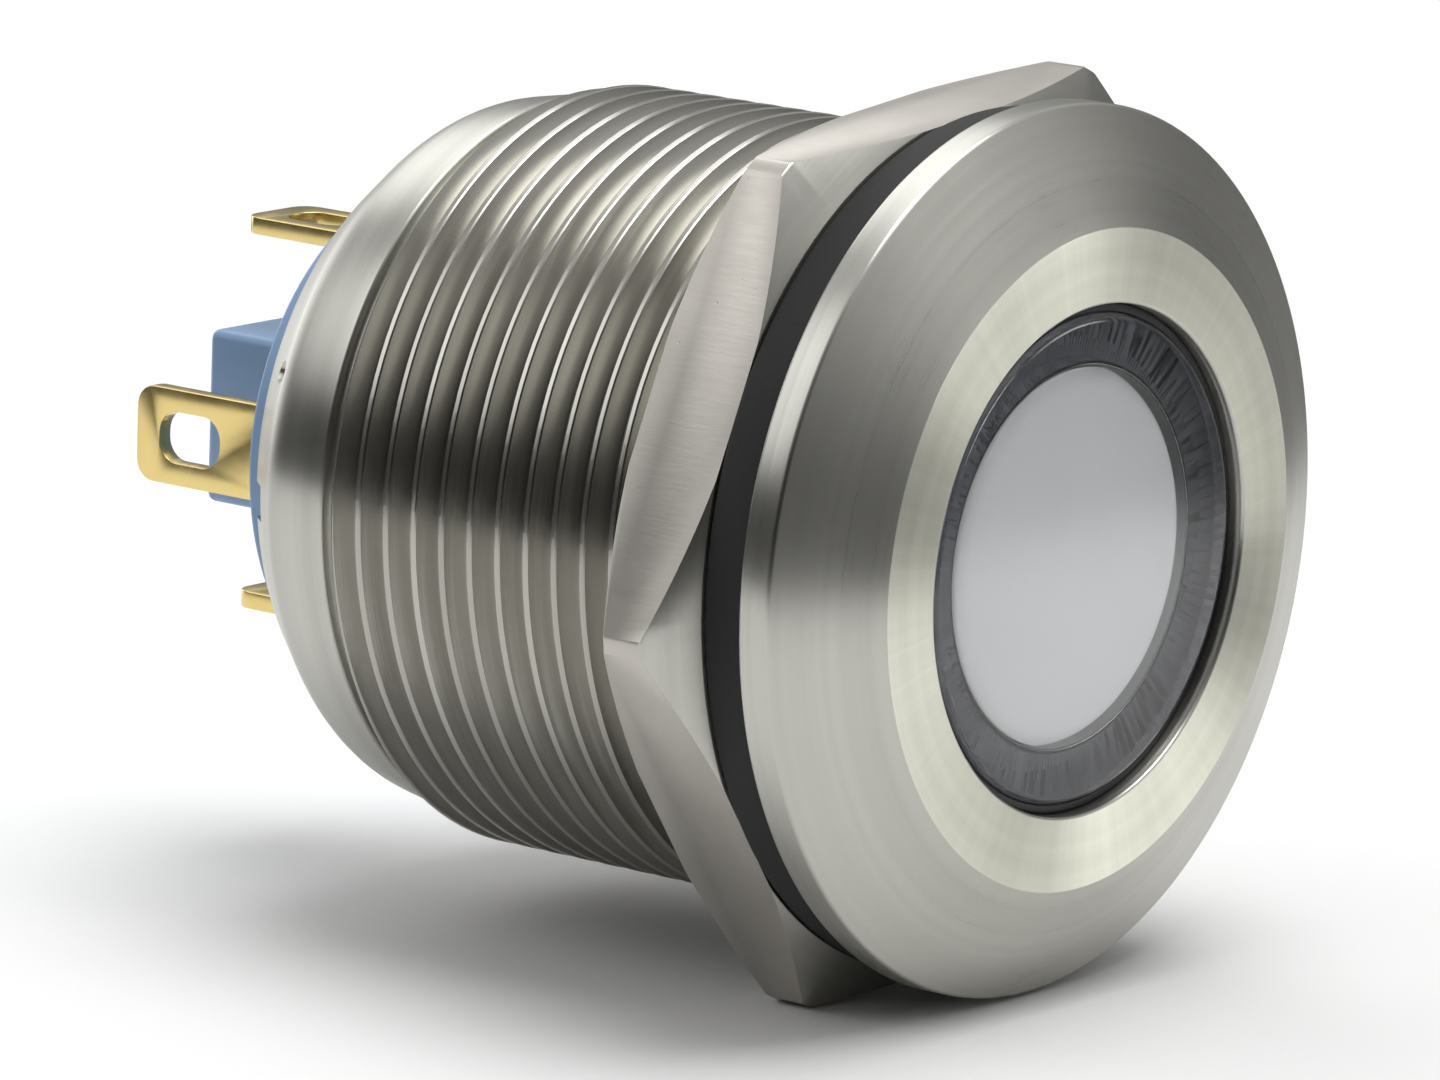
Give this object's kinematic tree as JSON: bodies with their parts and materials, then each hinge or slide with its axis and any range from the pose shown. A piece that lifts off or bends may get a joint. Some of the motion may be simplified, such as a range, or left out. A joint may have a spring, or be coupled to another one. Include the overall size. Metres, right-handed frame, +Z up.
{
  "type": "panel pilot light",
  "caption": "Round metal indicator lamp for a panel hole, with a bevelled head, clear lens over a white diffuser, threaded barrel, gasket, hexagon nut and solder lugs at the rear.",
  "frame": {"origin": "on the lamp's axis, at the rear face of the panel gasket, where the front of the panel lies", "axes": "+Y along the axis towards the solder lugs, so the lens faces -Y; +Z up, towards the upper solder lug; +X to the right seen from the front"},
  "size_m": [0.0274, 0.0301, 0.0252],
  "materials": {
    "stainless": "turned and brushed",
    "black_rubber": "moulded matt",
    "clear_plastic": "clear moulded",
    "diffuser_white": "satin translucent",
    "carrier_dark": "moulded",
    "reflector_white": "gloss",
    "board_green": "solder mask",
    "led_package": "matt",
    "component_black": "moulded epoxy",
    "tinned_pin": "tinned",
    "gold_plate": "gold plated, bright",
    "base_blue": "moulded"
  },
  "bodies": {
    "lamp": {"housing": "stainless", "panel_gasket": "black_rubber", "lens_seal": "black_rubber", "lens": "clear_plastic", "diffuser": "diffuser_white", "carrier": "carrier_dark", "reflector": "reflector_white", "led_board": "board_green", "led_1": "led_package", "led_2": "led_package", "led_3": "led_package", "led_4": "led_package", "board_pins": "tinned_pin", "driver_board": "board_green", "rectifier": "component_black", "resistor_1": "component_black", "resistor_2": "component_black", "terminal_base": "base_blue", "base_seal": "black_rubber", "terminal_top": "gold_plate", "terminal_side": "gold_plate", "terminal_bottom": "gold_plate"},
    "nut": {"hex_nut": "stainless"}
  },
  "joints": [
    {"name": "nut_travel", "type": "slide", "parent": "lamp", "child": "nut", "axis": [0, 1, 0], "range_m": [0, 0.028]}
  ]
}
